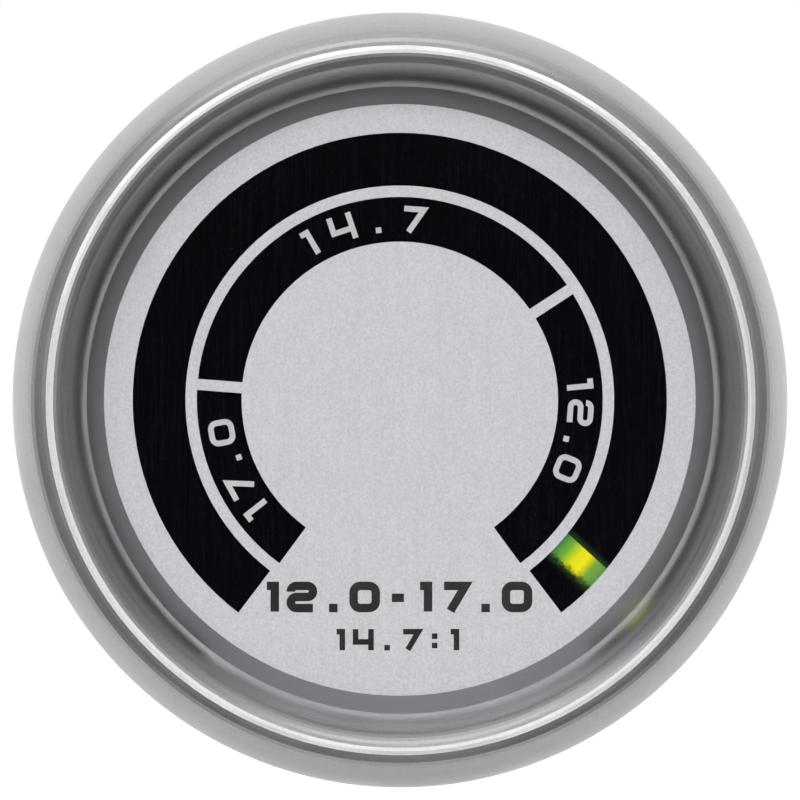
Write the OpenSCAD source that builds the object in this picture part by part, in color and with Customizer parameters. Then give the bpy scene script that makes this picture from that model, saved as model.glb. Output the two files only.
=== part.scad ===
// Air fuel ratio gauge of the 52 mm (2 1/16 in) size, with a light arc, in millimetres.
// +X is right and +Z is up as the driver sees the dial; +Y runs rearwards through the panel.
// The origin is on the case axis, in the panel face that the bezel seats on.

/* [Case] */
// Outside diameter of the case barrel
case_d = 52; // [51:0.5:56]
// Length of the case behind the panel face
case_length = 30; // [29:0.5:45]
// Wall of the barrel
case_wall = 1; // [0.8:0.1:1.3]
// Wall of the case back
case_back_wall = 1.2; // [1:0.1:2]
// Outer corner radius between barrel and back
case_corner_r = 2; // [1:0.25:2.5]
// Thickness of the flange that the bezel is crimped over
flange_t = 1; // [0.8:0.1:1.4]

/* [Bezel] */
// How far the bezel reaches out past the barrel
bezel_overhang = 2.8; // [2.4:0.1:4]
// Height of the crest in front of the panel face
bezel_height = 7.6; // [6:0.2:10]
// Width of the outer slope, from the rim to the crest
bezel_outer_slope = 3; // [2.4:0.1:3.8]
// How far the lip covers the glass
lip_cover = 1.5; // [1:0.1:2]
// Height at which the bezel is widest
bezel_skirt = 1.6; // [1.2:0.1:2.2]
// Sheet thickness of the bezel
bezel_sheet = 0.8; // [0.5:0.1:1]
// Thickness of the crimped rear edge
crimp_t = 0.8; // [0.5:0.1:1]

/* [Lens and trim ring] */
// Thickness of the rubber gasket under the lip
gasket_t = 0.3; // [0.2:0.1:0.6]
// Width of the gasket
gasket_w = 2.6; // [1.6:0.1:3]
// Thickness of the glass
lens_t = 1.5; // [1:0.1:2.5]
// Depth of the trim ring, from the glass to the dial
trim_depth = 2.4; // [1.5:0.1:4]
// Width of the trim ring at the glass
trim_front_w = 1.5; // [1:0.1:1.8]
// Width of the trim ring at the dial
trim_back_w = 2.75; // [2:0.05:3.2]

/* [Dial] */
// Thickness of the dial plate
dial_t = 0.2; // [0.2:0.1:0.6]
// Plain margin of the dial outside the light arc
dial_margin = 4.9; // [4.5:0.1:6]
// Width of the light arc's window
arc_w = 3.95; // [3.5:0.05:4.2]
// Plain ring between the light arc and the sector bands
ring_gap = 0.85; // [0.75:0.05:1.2]
// Width of the three sector bands
band_w = 3.35; // [2.5:0.05:4]
// Angle from the top to each end of the light arc, in degrees
arc_half_angle = 142.8; // [138:0.2:150]
// Angle from the top to each outer end of the sector bands, in degrees
band_half_angle = 143.6; // [138:0.2:150]
// Angle of the bar between the left and the top band, clockwise from the top, in degrees
left_bar_angle = -85.6; // [-100:0.2:-70]
// Angle of the bar between the top and the right band, in degrees
right_bar_angle = 57; // [40:0.2:75]
// Width of these two bars
bar_w = 0.82; // [0.4:0.02:1.6]
// Thickness of the smoked filter
filter_t = 1; // [0.6:0.1:1.5]

/* [Light arc] */
// Angle between the first and the last lamp, in degrees
lamp_span = 264.6; // [240:0.2:270]
// Lamps in the lean sector
lean_count = 4; // [2:1:4]
// Lamps in the middle sector
stoich_count = 10; // [6:1:10]
// Lamps in the rich sector, the lit one among them
rich_count = 6; // [3:1:6]
// Width of a lamp's cell along the arc
cell_w = 2.1; // [1.6:0.1:2.4]
// Depth of the cells
cell_depth = 3; // [2.8:0.1:4]
// Height of a lamp above its board
lamp_h = 2.4; // [1.6:0.1:2.5]
// Height of a backlight lamp above its board
backlight_h = 1.6; // [1:0.1:1.8]
// Side of a square backlight lamp
backlight_w = 2.8; // [2:0.1:3.4]

/* [Boards] */
// Thickness of both circuit boards
board_t = 1.6; // [1:0.2:2]
// Distance from the power board to the case back
rear_gap = 4.8; // [3.6:0.2:6]
// Width across flats of the board spacers
spacer_flats = 4; // [3.6:0.1:4.2]
// Radius of the small screws through the boards
screw_r = 1; // [0.8:0.05:1.1]
// Pins in each header strip
header_pins_each = 12; // [6:1:12]
// Distance of the header strips above and below the axis
header_offset = 14; // [13.5:0.1:14.5]
// Radius of the two large capacitors
capacitor_r = 3.15; // [2.5:0.05:3.3]
// Height of the two large capacitors
capacitor_h = 7.2; // [5:0.2:8]

/* [Rear socket] */
// Width of the socket
socket_w = 16; // [15:0.5:18]
// Height of the socket
socket_h = 10; // [9:0.5:10.5]
// Length of the socket from the power board
socket_length = 16; // [15:0.5:20]
// Wall of the socket at its top and bottom
socket_wall = 1.5; // [1:0.1:1.8]
// Depth of its cavity
socket_cavity = 9.6; // [9:0.2:10]
// Distance of its lower side from the inside of the barrel
socket_inset = 4; // [3.5:0.25:4.5]
// Length of the contact pins inside the cavity
contact_reach = 5; // [4:0.2:6]

/* [Mounting] */
// Distance between the two mounting studs
stud_spacing = 30; // [29:0.5:32]
// Radius of the studs
stud_r = 2.08; // [1.9:0.02:2.2]
// Length of stud left behind the thumb nuts
stud_reserve = 8.3; // [8.1:0.1:14]
// Thickness of the panel that the clamp is set for
panel_t = 3; // [2.3:0.1:6]
// Gap between the jam nuts and the clamp bracket
bracket_gap = 3; // [2.4:0.2:8]
// Width of the clamp bracket's strip
bracket_w = 14; // [14:0.5:20]
// Thickness of the strip
bracket_t = 1.2; // [1:0.1:1.6]
// Gap between the barrel and the bracket's legs
leg_gap = 0.6; // [0.6:0.1:2]
// Bend radius inside the bracket's corners
bend_r = 1.5; // [1:0.1:2.5]
// Radius of the thumb nuts
thumb_nut_r = 5.5; // [5.2:0.1:7]
// Length of the thumb nuts
thumb_nut_l = 6; // [4:0.5:8]

/* [Hidden] */

// Facets of a full turn where a shape is drawn as a mesh, and steps of a drawn arc
facets = 96;
arc_steps = 16;
bend_steps = 8;
// How far a cut runs past the faces that it opens
overrun = 1;

// Clearances
crimp_fit = 0.05;
seat_fit = 0.05;
neck_relief = 0.1;
bezel_fit = 0.1;
flange_fit = 0.1;
stack_fit = 0.1;
lens_fit = 0.2;
board_fit = 0.4;
cell_fit = 0.1;
pin_fit = 0.02;
screw_fit = 0.05;
stud_fit = 0.05;
washer_fit = 0.15;
socket_fit = 0.1;
bracket_hole_fit = 0.3;

// Radii of the case, and of what stands in it
case_r = case_d / 2;
case_in_r = case_r - case_wall;
neck_r = case_r - neck_relief;
stack_r = case_in_r - stack_fit;
lens_r = case_in_r - lens_fit;
board_r = case_in_r - board_fit;
case_inner_corner_r = max(case_corner_r - case_wall, seat_fit);

// Radii of the bezel
bezel_r = case_r + bezel_overhang;
crest_r = bezel_r - bezel_outer_slope;
lip_r = lens_r - lip_cover;
bezel_inner_slope = crest_r - lip_r;
bezel_bore_r = case_r + bezel_fit;
bezel_rear_round = 0.3;
flange_r = bezel_r - bezel_sheet - flange_fit;
gasket_inset = 0.2;

// Depths of the stack, from the front rearwards
flange_back_y = -crimp_t - crimp_fit;
flange_front_y = flange_back_y - flange_t;
lens_front_y = flange_front_y - seat_fit;
lip_y = lens_front_y - gasket_t;
lens_back_y = lens_front_y + lens_t;
trim_back_y = lens_back_y + trim_depth;
dial_back_y = trim_back_y + dial_t;
filter_back_y = dial_back_y + filter_t;
display_front_y = filter_back_y + cell_depth;
display_back_y = display_front_y + board_t;
case_back_y = case_length - case_back_wall;
power_back_y = case_back_y - rear_gap;
power_front_y = power_back_y - board_t;
lens_edge = 0.15;

// Radii of the dial's windows, from its rim inwards
arc_out_r = stack_r - dial_margin;
arc_in_r = arc_out_r - arc_w;
band_out_r = arc_in_r - ring_gap;
band_in_r = band_out_r - band_w;

// Lamps, cells and the baffle round them
lamp_count = lean_count + stoich_count + rich_count;
lamp_pitch = lamp_span / (lamp_count - 1);
lamp_mid_r = (arc_out_r + arc_in_r) / 2;
cell_l = arc_w + cell_fit;
lamp_w = cell_w - 2 * cell_fit;
lamp_l = cell_l - 2 * cell_fit;
lamp_round = 0.3;
baffle_wall = 0.5;
baffle_in_r = arc_in_r - baffle_wall;
baffle_out_r = arc_out_r + baffle_wall;
diffuser_r = baffle_in_r - stack_fit;
diffuser_wall = 1;
backlight_ring_r = diffuser_r - diffuser_wall - backlight_w;
backlight_angles = [-115, -35, 10, 100];

// Boards, spacers and screws
spacer_inset = 2.6;
spacer_angles = [60, 120, 240, 300];
spacer_r = spacer_flats / 2 / cos(30);
screw_l = 4;
countersink_r = 1.9;
countersink_h = 0.9;
pan_head_r = 1.9;
pan_head_h = 1.2;
head_round = 0.3;
drive_r = 0.7;
drive_depth = 0.6;
drive_sides = 6;

// Header strips and pins
pin_pitch = 2.54;
pin_w = 0.64;
strip_w = 2.54;
strip_h = 2.5;
strip_l = header_pins_each * pin_pitch;

// Chips in dual in-line cases
chip_w = 6.4;
chip_t = 3.2;
chip_standoff = 0.5;
chip_leg_w = 0.5;
chip_leg_t = 0.3;
chip_row_gap = 7.62;
chip_notch_r = 0.8;
chip_notch_depth = 0.3;
chip_half_w = (chip_row_gap + chip_leg_t) / 2;
driver_pins = 18;
op_amp_pins = 8;

// Voltage regulator, lying on its tab
regulator_w = 10.2;
regulator_body_l = 9.2;
regulator_body_t = 3.1;
regulator_tab_l = 15.6;
regulator_tab_t = 1.3;
regulator_tab_hole_r = 1.8;
regulator_lead_w = 0.8;
regulator_lead_t = 0.5;
regulator_lead_l = 3.2;
regulator_lead_rise = 2.4;

// Capacitors: a can with a groove near its foot
small_capacitor_r = 2;
small_capacitor_h = 5;
can_groove = 0.3;
can_groove_height = 1.2;

// Resistors: a waisted body on two bent leads
resistor_body_l = 6;
resistor_bulb_r = 1.15;
resistor_bulb_l = 1.4;
resistor_waist_r = 0.95;
resistor_span = 10;
resistor_lead_r = 0.25;
resistor_height = 1.4;
resistor_half_l = resistor_span / 2 + resistor_lead_r;

// Pillars between the power board and the case back
pillar_flats = 6.5;
pillar_r = pillar_flats / 2 / cos(30);
pillar_screw_r = 1.5;
pillar_screw_reach = 1.1;
pillar_head_r = 2.7;
pillar_head_h = 1.8;

// Gaps between the pieces on the boards
driver_strip_gap = 2.28;
regulator_screw_gap = 0.56;
regulator_strip_gap = 1.17;
op_amp_regulator_gap = 1.97;
op_amp_strip_gap = 1.76;
capacitor_lead_gap = 1.29;
capacitor_gap = 0.96;
capacitor_resistor_gap = 0.62;
resistor_op_amp_gap = 1.29;
resistor_screw_gap = 1.05;
resistor_gap = 0.77;
outer_resistor_gap = 0.28;
resistor_strip_gap = 1.17;
resistor_end_gap = 1.5;

// Places on the boards, from the header strips inwards and from the right pillar screw leftwards
strip_in_z = header_offset - strip_w / 2;
strip_out_z = header_offset + strip_w / 2;
screw_in_x = stud_spacing / 2 - pillar_head_r;
screw_out_x = stud_spacing / 2 + pillar_head_r;
driver_z = strip_in_z - driver_strip_gap - chip_half_w;
regulator_x = screw_in_x - regulator_screw_gap - regulator_w / 2;
regulator_top_z = strip_in_z - regulator_strip_gap;
op_amp_x = regulator_x - regulator_w / 2 - op_amp_regulator_gap - op_amp_pins / 4 * pin_pitch;
op_amp_z = strip_in_z - op_amp_strip_gap - chip_half_w;
inner_resistor_x = -screw_in_x + resistor_screw_gap + resistor_half_l;
upper_resistor_z = op_amp_z - chip_half_w - resistor_op_amp_gap - resistor_bulb_r;
lower_resistor_z = upper_resistor_z - 2 * resistor_bulb_r - resistor_gap;
capacitor_x = regulator_x - pin_pitch - regulator_lead_w / 2 - capacitor_lead_gap - capacitor_r;
capacitor_z = lower_resistor_z - resistor_bulb_r - capacitor_resistor_gap - capacitor_r;
capacitor_places = [for (i = [0:1]) [capacitor_x - i * (2 * capacitor_r + capacitor_gap), capacitor_z]];
small_capacitor_x = (screw_out_x + board_r) / 2;
outer_resistor_x = resistor_end_gap / 2 + resistor_half_l;
outer_resistor_z = strip_out_z + resistor_strip_gap + resistor_bulb_r;
outmost_resistor_z = outer_resistor_z + 2 * resistor_bulb_r + outer_resistor_gap;
resistor_places = concat(
    [for (z = [upper_resistor_z, lower_resistor_z]) [inner_resistor_x, z]],
    [for (z = [outer_resistor_z, outmost_resistor_z, -outer_resistor_z], side = [-1, 1])
        [side * outer_resistor_x, z]]
);

// Rear socket
contact_count = 4;
contact_w = 0.64;
socket_corner_r = 1;
socket_side_wall = 2;
socket_drop = case_in_r - socket_inset - socket_h / 2;
socket_back_y = power_back_y + socket_length;
cavity_front_y = socket_back_y - socket_cavity;
key_w = 2;
key_depth = 0.7;
catch_w = 4;
catch_h = 1.1;
catch_l = 2.4;
catch_setback = 3;
seal_w = 1;
seal_t = 0.8;

// Hardware on the studs
washer_r = 4.6;
jam_washer_t = 0.6;
jam_nut_flats = 8.7;
jam_nut_t = 2.4;
jam_nut_r = jam_nut_flats / 2 / cos(30);
nut_chamfer = 0.35;
lock_washer_r = 3.9;
lock_washer_t = 1;
lock_washer_slit = 0.5;
knurl_count = 24;
knurl_depth = 0.35;
thumb_nut_chamfer = 0.6;
thumb_nut_seat_r = 4.4;
thumb_nut_seat_l = 0.8;
stud_chamfer = 0.3;

// Depths of the hardware
jam_washer_back_y = case_length + jam_washer_t;
jam_nut_back_y = jam_washer_back_y + jam_nut_t;
bracket_front_y = jam_nut_back_y + bracket_gap;
bracket_back_y = bracket_front_y + bracket_t;
thumb_nut_front_y = bracket_back_y + lock_washer_t;
stud_front_y = power_back_y + pillar_screw_reach;
stud_back_y = thumb_nut_front_y + thumb_nut_l + stud_reserve;
leg_in_x = case_r + leg_gap;
leg_out_x = leg_in_x + bracket_t;

stud_places = [[-stud_spacing / 2, 0], [stud_spacing / 2, 0]];
spacer_places = [for (a = spacer_angles) (board_r - spacer_inset) * [sin(a), cos(a)]];

// Points of an elliptical arc in a profile of radius and depth
function oval(r, y, half_w, half_h, from, to, steps) =
    [for (i = [0:steps]) let (a = from + (to - from) * i / steps)
        [r + half_w * cos(a), y + half_h * sin(a)]];

// Stands a shape on a face: its +Z points rearwards, its +X stays
module on_rear_face(y) {
    translate([0, y, 0]) rotate([-90, 0, 0]) children();
}

// Stands a shape on a face: its +Z points to the front, and its +Y is up
module on_front_face(y) {
    translate([0, y, 0]) rotate([90, 0, 0]) children();
}

// A profile of radius and depth turned about the case axis
module turned() {
    rotate([-90, 0, 0]) rotate_extrude($fn = facets) children();
}

// An outline seen from the front, as thick as the space between two depths
module slab(front_y, back_y) {
    on_front_face(back_y) linear_extrude(height = back_y - front_y) children();
}

module disc(r, front_y, back_y) {
    slab(front_y, back_y) circle(r = r, $fn = facets);
}

module at_places(places) {
    for (p = places) translate([p[0], 0, p[1]]) children();
}

// A round hole or shank along Y
module rod(r, front_y, back_y) {
    on_rear_face(front_y) cylinder(r = r, h = back_y - front_y, $fn = facets);
}

module ring(outer_r, inner_r, front_y, back_y) {
    difference() {
        disc(outer_r, front_y, back_y);
        rod(inner_r, front_y - overrun, back_y + overrun);
    }
}

// A part of a ring between two angles, clockwise from the top as the driver sees it
module arc_slab(inner_r, outer_r, from, to, front_y, back_y) {
    rotate([-90, 0, 0])
        rotate_extrude(start = from - 90, angle = to - from, $fn = facets)
            translate([inner_r, front_y]) square([outer_r - inner_r, back_y - front_y]);
}

// Turns a shape that is drawn at the top to its place on the dial
module at_angle(a) {
    rotate([0, a, 0]) children();
}

module rounded_rect(w, h, r) {
    square([w - 2 * r, h], center = true);
    square([w, h - 2 * r], center = true);
    for (x = [-1, 1], y = [-1, 1])
        translate([x * (w / 2 - r), y * (h / 2 - r)]) circle(r = r, $fn = facets);
}

module bezel() {
    crest_h = bezel_height - bezel_sheet;
    color("silver") turned() polygon(concat(
        [[bezel_bore_r, 0], [bezel_r - bezel_rear_round, 0], [bezel_r, -bezel_rear_round]],
        oval(crest_r, -bezel_skirt, bezel_outer_slope, -bezel_height + bezel_skirt,
            0, 90, arc_steps),
        oval(crest_r, lip_y, bezel_inner_slope, -bezel_height - lip_y, 90, 180, arc_steps),
        oval(crest_r, lip_y, bezel_inner_slope - bezel_sheet, -crest_h - lip_y,
            180, 90, arc_steps),
        oval(crest_r, -bezel_skirt, bezel_outer_slope - bezel_sheet, -crest_h + bezel_skirt,
            90, 0, arc_steps),
        [[bezel_r - bezel_sheet, -crimp_t], [bezel_bore_r, -crimp_t]]
    ));
}

module lens_gasket() {
    gasket_r = lip_r + gasket_inset;
    color("#161616") ring(gasket_r + gasket_w, gasket_r, lip_y, lens_front_y);
}

module lens() {
    color("#dfe8ee") turned() polygon([
        [0, lens_front_y], [lens_r - lens_edge, lens_front_y], [lens_r, lens_front_y + lens_edge],
        [lens_r, lens_back_y - lens_edge], [lens_r - lens_edge, lens_back_y], [0, lens_back_y]
    ]);
}

module trim_ring() {
    color("#a9a9ad") turned() polygon([
        [stack_r, lens_back_y], [stack_r - trim_front_w, lens_back_y],
        [stack_r - trim_back_w, trim_back_y], [stack_r, trim_back_y]
    ]);
}

module dial_plate() {
    front_y = trim_back_y - overrun;
    back_y = dial_back_y + overrun;
    color("#c8c8cd") difference() {
        disc(stack_r, trim_back_y, dial_back_y);
        arc_slab(arc_in_r, arc_out_r, -arc_half_angle, arc_half_angle, front_y, back_y);
        difference() {
            arc_slab(band_in_r, band_out_r, -band_half_angle, band_half_angle, front_y, back_y);
            for (a = [left_bar_angle, right_bar_angle])
                at_angle(a) slab(front_y - overrun, back_y + overrun)
                    translate([-bar_w / 2, 0]) square([bar_w, stack_r]);
        }
    }
}

module smoked_filter() {
    color("#1b1a20") disc(stack_r, dial_back_y, filter_back_y);
}

// Runs its children at one lamp after another, from the lean end
module at_lamps(first, count) {
    for (i = [first:first + count - 1])
        at_angle(-lamp_span / 2 + i * lamp_pitch) translate([0, 0, lamp_mid_r]) children();
}

module led_baffle() {
    color("#141414") difference() {
        ring(baffle_out_r, baffle_in_r, filter_back_y, display_front_y);
        at_lamps(0, lamp_count)
            slab(filter_back_y - overrun, display_front_y + overrun)
                square([cell_w, cell_l], center = true);
    }
}

module dial_diffuser() {
    color("#e9e9e4") difference() {
        disc(diffuser_r, filter_back_y, display_front_y);
        rod(diffuser_r - diffuser_wall, filter_back_y + diffuser_wall, display_front_y + overrun);
    }
}

module arc_lamp() {
    slab(display_front_y - lamp_h, display_front_y) rounded_rect(lamp_w, lamp_l, lamp_round);
}

module lean_leds() {
    color("#b5443c") at_lamps(0, lean_count) arc_lamp();
}

module stoich_leds() {
    color("#c9a33c") at_lamps(lean_count, stoich_count) arc_lamp();
}

module rich_leds() {
    color("#4d8f56") at_lamps(lean_count + stoich_count, rich_count - 1) arc_lamp();
}

module lit_led() {
    color("#e2ef21") at_lamps(lamp_count - 1, 1) arc_lamp();
}

module backlight_leds() {
    color("#f4f2e4")
        for (a = backlight_angles)
            at_angle(a) translate([0, 0, backlight_ring_r])
                slab(display_front_y - backlight_h, display_front_y)
                    rounded_rect(backlight_w, backlight_w, lamp_round);
}

module display_board() {
    color("#20603a") difference() {
        disc(board_r, display_front_y, display_back_y);
        at_places(spacer_places) {
            rod(screw_r + screw_fit, display_front_y - overrun, display_back_y + overrun);
            on_rear_face(display_front_y)
                cylinder(r1 = countersink_r + screw_fit, r2 = screw_r + screw_fit,
                    h = countersink_h + screw_fit, $fn = facets);
        }
    }
}

// A dual in-line chip standing on Z = 0, its length along X
module dual_chip(pins) {
    row = pins / 2;
    body_l = row * pin_pitch;
    leg_y = chip_standoff + chip_t / 2;
    difference() {
        translate([-body_l / 2, -chip_w / 2, chip_standoff]) cube([body_l, chip_w, chip_t]);
        translate([-body_l / 2, 0, chip_standoff + chip_t - chip_notch_depth])
            cylinder(r = chip_notch_r, h = overrun, $fn = facets);
    }
    for (side = [-1, 1], i = [0:row - 1])
        translate([(i - (row - 1) / 2) * pin_pitch - chip_leg_w / 2, 0, 0])
            rotate([90, 0, 90]) linear_extrude(height = chip_leg_w) polygon([
                [0, leg_y], [side * chip_half_w, leg_y], [side * chip_half_w, 0],
                [side * (chip_half_w - chip_leg_t), 0],
                [side * (chip_half_w - chip_leg_t), leg_y - chip_leg_t],
                [0, leg_y - chip_leg_t]
            ]);
}

module driver_chips() {
    color("#26262a") at_places([[0, -driver_z], [0, driver_z]])
        on_rear_face(display_back_y) dual_chip(driver_pins);
}

module display_board_screws() {
    color("#9aa0a6") at_places(spacer_places) difference() {
        union() {
            on_rear_face(display_front_y)
                cylinder(r1 = countersink_r, r2 = screw_r, h = countersink_h, $fn = facets);
            rod(screw_r, display_front_y, display_front_y + screw_l);
        }
        on_rear_face(display_front_y - overrun)
            cylinder(r = drive_r, h = drive_depth + overrun, $fn = drive_sides);
    }
}

module board_spacers() {
    color("#c2b280") at_places(spacer_places) difference() {
        on_rear_face(display_back_y)
            cylinder(r = spacer_r, h = power_front_y - display_back_y, $fn = 6);
        rod(screw_r + screw_fit, display_back_y - overrun, power_front_y + overrun);
    }
}

// Runs its children at each pin of the two header strips
module at_header_pins() {
    for (side = [-1, 1], i = [0:header_pins_each - 1])
        translate([(i - (header_pins_each - 1) / 2) * pin_pitch, 0, side * header_offset])
            children();
}

module header_strips() {
    color("#1d1d1f") difference() {
        for (side = [-1, 1]) translate([0, 0, side * header_offset]) {
            slab(display_back_y, display_back_y + strip_h) square([strip_l, strip_w], center = true);
            slab(power_front_y - strip_h, power_front_y) square([strip_l, strip_w], center = true);
        }
        at_header_pins() slab(display_back_y - overrun, power_front_y + overrun)
            square(pin_w + 2 * pin_fit, center = true);
    }
}

module header_pins() {
    color("#d4b45c") at_header_pins()
        slab(display_back_y, power_front_y) square(pin_w, center = true);
}

module power_board() {
    color("#20603a") difference() {
        disc(board_r, power_front_y, power_back_y);
        at_places(spacer_places)
            rod(screw_r + screw_fit, power_front_y - overrun, power_back_y + overrun);
        at_places(stud_places)
            rod(pillar_screw_r + screw_fit, power_front_y - overrun, power_back_y + overrun);
    }
}

module op_amp() {
    color("#26262a") at_places([[op_amp_x, op_amp_z]])
        on_front_face(power_front_y) dual_chip(op_amp_pins);
}

module voltage_regulator() {
    lead_top = regulator_lead_rise + regulator_lead_t;
    color("#3a3a3e") at_places([[regulator_x, regulator_top_z]])
        on_front_face(power_front_y) translate([0, -regulator_tab_l, 0]) {
            difference() {
                translate([-regulator_w / 2, 0, 0])
                    cube([regulator_w, regulator_tab_l, regulator_tab_t]);
                translate([0, (regulator_body_l + regulator_tab_l) / 2, -overrun])
                    cylinder(r = regulator_tab_hole_r, h = regulator_tab_t + 2 * overrun, $fn = facets);
            }
            translate([-regulator_w / 2, 0, 0])
                cube([regulator_w, regulator_body_l, regulator_tab_t + regulator_body_t]);
            for (i = [-1:1]) translate([i * pin_pitch - regulator_lead_w / 2, 0, 0])
                rotate([90, 0, 90]) linear_extrude(height = regulator_lead_w) polygon([
                    [regulator_lead_t, lead_top], [-regulator_lead_l, lead_top],
                    [-regulator_lead_l, 0], [regulator_lead_t - regulator_lead_l, 0],
                    [regulator_lead_t - regulator_lead_l, regulator_lead_rise],
                    [regulator_lead_t, regulator_lead_rise]
                ]);
        }
}

// An upright can, its foot on Z = 0
module capacitor(r, h) {
    rotate_extrude($fn = facets) polygon([
        [0, 0], [r - can_groove, 0], [r, can_groove], [r, can_groove_height],
        [r - can_groove, can_groove_height + can_groove], [r, can_groove_height + 2 * can_groove],
        [r, h - can_groove], [r - can_groove, h], [0, h]
    ]);
}

module capacitors() {
    color("#2a3f66") {
        at_places(capacitor_places)
            on_front_face(power_front_y) capacitor(capacitor_r, capacitor_h);
        at_places([[small_capacitor_x, 0]])
            on_front_face(power_front_y) capacitor(small_capacitor_r, small_capacitor_h);
    }
}

// An axial resistor above Z = 0, its length along X
module resistor() {
    half_l = resistor_body_l / 2;
    translate([0, 0, resistor_height]) rotate([0, 90, 0]) rotate_extrude($fn = facets) polygon([
        [0, -half_l], [resistor_bulb_r, -half_l], [resistor_bulb_r, resistor_bulb_l - half_l],
        [resistor_waist_r, resistor_bulb_l + resistor_lead_r - half_l],
        [resistor_waist_r, half_l - resistor_bulb_l - resistor_lead_r],
        [resistor_bulb_r, half_l - resistor_bulb_l], [resistor_bulb_r, half_l], [0, half_l]
    ]);
    translate([-resistor_span / 2, 0, resistor_height]) rotate([0, 90, 0])
        cylinder(r = resistor_lead_r, h = resistor_span, $fn = facets);
    for (side = [-1, 1]) translate([side * resistor_span / 2, 0, 0])
        cylinder(r = resistor_lead_r, h = resistor_height + resistor_lead_r, $fn = facets);
}

module resistors() {
    color("#c8b089") at_places(resistor_places)
        on_front_face(power_front_y) resistor();
}

// A pan-head screw whose head stands rearwards of Y = 0 and whose shank points to the front
module pan_screw(r, shank, head_r, head_h) {
    difference() {
        union() {
            rotate([-90, 0, 0]) rotate_extrude($fn = facets) polygon([
                [0, 0], [head_r, 0], [head_r, head_h - head_round], [head_r - head_round, head_h],
                [0, head_h]
            ]);
            rod(r, -shank, 0);
        }
        on_rear_face(head_h - drive_depth)
            cylinder(r = drive_r, h = drive_depth + overrun, $fn = drive_sides);
    }
}

module power_board_screws() {
    color("#9aa0a6") at_places(spacer_places) translate([0, power_back_y, 0])
        pan_screw(screw_r, screw_l, pan_head_r, pan_head_h);
}

module stud_pillars() {
    color("#b8bcc0") at_places(stud_places) difference() {
        on_rear_face(power_back_y) cylinder(r = pillar_r, h = rear_gap, $fn = 6);
        rod(pillar_screw_r + screw_fit, power_back_y - overrun, case_back_y);
        rod(stud_r + stud_fit, stud_front_y, case_back_y + overrun);
    }
}

module pillar_screws() {
    color("#9aa0a6") at_places(stud_places) translate([0, power_front_y, 0]) rotate([180, 0, 0])
        pan_screw(pillar_screw_r, board_t + pillar_screw_reach - screw_fit,
            pillar_head_r, pillar_head_h);
}

module socket_window(grow) {
    translate([0, -socket_drop])
        rounded_rect(socket_w + 2 * grow, socket_h + 2 * grow, socket_corner_r + grow);
}

module case() {
    color("#18181a") difference() {
        turned() polygon(concat(
            [[case_in_r, flange_front_y], [flange_r, flange_front_y], [flange_r, flange_back_y],
                [neck_r, flange_back_y], [neck_r, 0], [case_r, 0]],
            oval(case_r - case_corner_r, case_length - case_corner_r, case_corner_r,
                case_corner_r, 0, 90, bend_steps),
            [[0, case_length], [0, case_back_y]],
            oval(case_in_r - case_inner_corner_r, case_back_y - case_inner_corner_r,
                case_inner_corner_r, case_inner_corner_r, 90, 0, bend_steps)
        ));
        at_places(stud_places)
            rod(stud_r + stud_fit, case_back_y - overrun, case_length + overrun);
        slab(case_back_y - overrun, case_length + overrun) socket_window(socket_fit);
    }
}

module socket_seal() {
    color("#101010") difference() {
        slab(case_back_y - seal_t, case_back_y) socket_window(seal_w);
        slab(case_back_y - seal_t - overrun, case_back_y + overrun) socket_window(socket_fit);
    }
}

// Runs its children at each contact of the rear socket
module at_contacts() {
    for (i = [0:contact_count - 1])
        translate([(i - (contact_count - 1) / 2) * pin_pitch, 0, -socket_drop]) children();
}

module rear_socket() {
    cavity_w = socket_w - 2 * socket_side_wall;
    cavity_h = socket_h - 2 * socket_wall;
    color("#222226") difference() {
        union() {
            slab(power_back_y, socket_back_y) socket_window(0);
            slab(socket_back_y - catch_setback - catch_l, socket_back_y - catch_setback)
                translate([-catch_w / 2, -socket_drop - socket_h / 2 - catch_h])
                    square([catch_w, catch_h + socket_wall]);
        }
        slab(cavity_front_y, socket_back_y + overrun) translate([0, -socket_drop]) {
            square([cavity_w, cavity_h], center = true);
            translate([-key_w / 2, 0]) square([key_w, cavity_h / 2 + key_depth]);
        }
        at_contacts() slab(power_back_y - overrun, cavity_front_y + overrun)
            square(contact_w + 2 * pin_fit, center = true);
    }
}

module contact_pins() {
    color("#d4b45c") at_contacts()
        slab(power_back_y, cavity_front_y + contact_reach) square(contact_w, center = true);
}

module mounting_studs() {
    stud_l = stud_back_y - stud_front_y;
    color("#b8bcc0") at_places(stud_places) on_rear_face(stud_front_y)
        rotate_extrude($fn = facets) polygon([
            [0, 0], [stud_r - stud_chamfer, 0], [stud_r, stud_chamfer],
            [stud_r, stud_l - stud_chamfer], [stud_r - stud_chamfer, stud_l], [0, stud_l]
        ]);
}

module jam_washers() {
    color("#b8bcc0") at_places(stud_places)
        ring(washer_r, stud_r + washer_fit, case_length, jam_washer_back_y);
}

module jam_nuts() {
    color("#a7abb0") at_places(stud_places) difference() {
        intersection() {
            on_rear_face(jam_washer_back_y) cylinder(r = jam_nut_r, h = jam_nut_t, $fn = 6);
            on_rear_face(jam_washer_back_y) rotate_extrude($fn = facets) polygon([
                [0, 0], [jam_nut_r, 0], [jam_nut_r, jam_nut_t - nut_chamfer],
                [jam_nut_r - 2 * nut_chamfer, jam_nut_t], [0, jam_nut_t]
            ]);
        }
        rod(stud_r + stud_fit, jam_washer_back_y - overrun, jam_nut_back_y + overrun);
    }
}

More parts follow.
